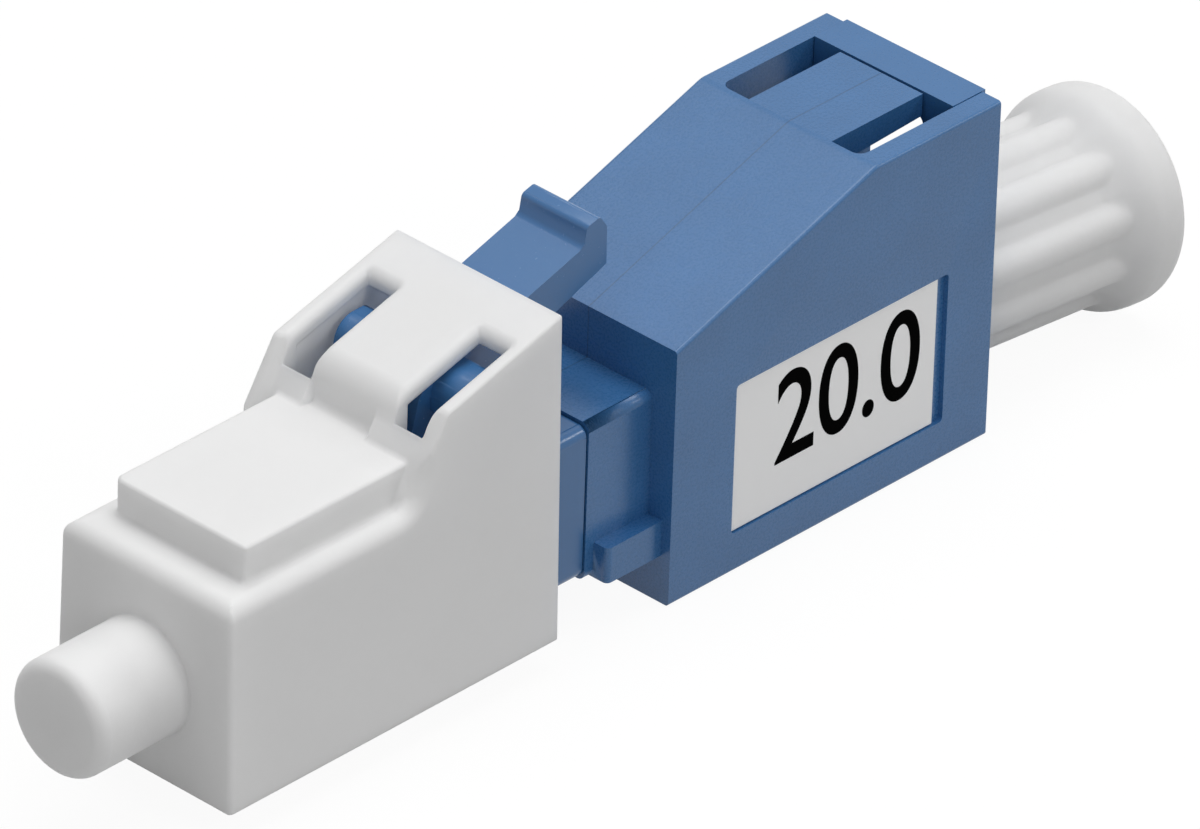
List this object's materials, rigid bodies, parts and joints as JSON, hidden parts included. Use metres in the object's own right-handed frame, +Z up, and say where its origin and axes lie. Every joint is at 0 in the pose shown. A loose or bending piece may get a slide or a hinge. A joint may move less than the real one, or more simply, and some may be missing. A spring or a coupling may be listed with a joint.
{
  "type": "fibre attenuator",
  "caption": "Male to female fixed fibre attenuator: square plug with a sprung latch, a block with the female port behind it, and push-on dust covers at both ends.",
  "frame": {"origin": "centre of the block's flat underside", "axes": "+X along the optical axis towards the female port, -X towards the ferrule's tip, +Z up towards the latch, the label on -Y"},
  "size_m": [0.0389, 0.0064, 0.0112],
  "materials": {
    "blue_shell": "satin moulded blue plastic with a fine grain",
    "blue_insert": "satin moulded blue plastic",
    "blue_plug": "satin moulded blue plastic",
    "blue_latch": "satin moulded blue plastic",
    "ceramic": "polished zirconia",
    "glass_fibre": "polished silica",
    "nickel_brass": "turned, nickel plated",
    "spring_steel": "drawn wire",
    "white_cap": "satin soft white polyethylene",
    "clear_plug": "milky natural polyethylene",
    "label": "matt light grey label stock with a plain printed numeral"
  },
  "bodies": {
    "attenuator": {"body_shell": "blue_shell", "port_insert": "blue_insert", "sleeve_holder": "blue_insert", "split_sleeve": "ceramic", "plug_housing": "blue_plug", "spring": "spring_steel", "value_label": "label"},
    "latch": {"latch_arm": "blue_latch"},
    "ferrule_group": {"ferrule": "ceramic", "doped_fibre": "glass_fibre", "ferrule_flange": "nickel_brass"},
    "cap": {"dust_cap": "white_cap"},
    "plug": {"dust_plug": "clear_plug"}
  },
  "joints": [
    {"name": "latch_press", "type": "hinge", "parent": "attenuator", "child": "latch", "pos_m": [-0.0161, 0, 0.0058], "axis": [0, 1, 0], "range_deg": [0, 5], "stiffness_Nm_per_rad": 0.12},
    {"name": "ferrule_float", "type": "slide", "parent": "attenuator", "child": "ferrule_group", "axis": [1, 0, 0], "range_m": [0, 0.0005], "stiffness_N_per_m": 1000, "deforming": ["spring"]},
    {"name": "dust_cap_pull", "type": "slide", "parent": "attenuator", "child": "cap", "axis": [-1, 0, 0], "range_m": [0, 0.016]},
    {"name": "dust_plug_pull", "type": "slide", "parent": "attenuator", "child": "plug", "axis": [1, 0, 0], "range_m": [0, 0.01]}
  ]
}
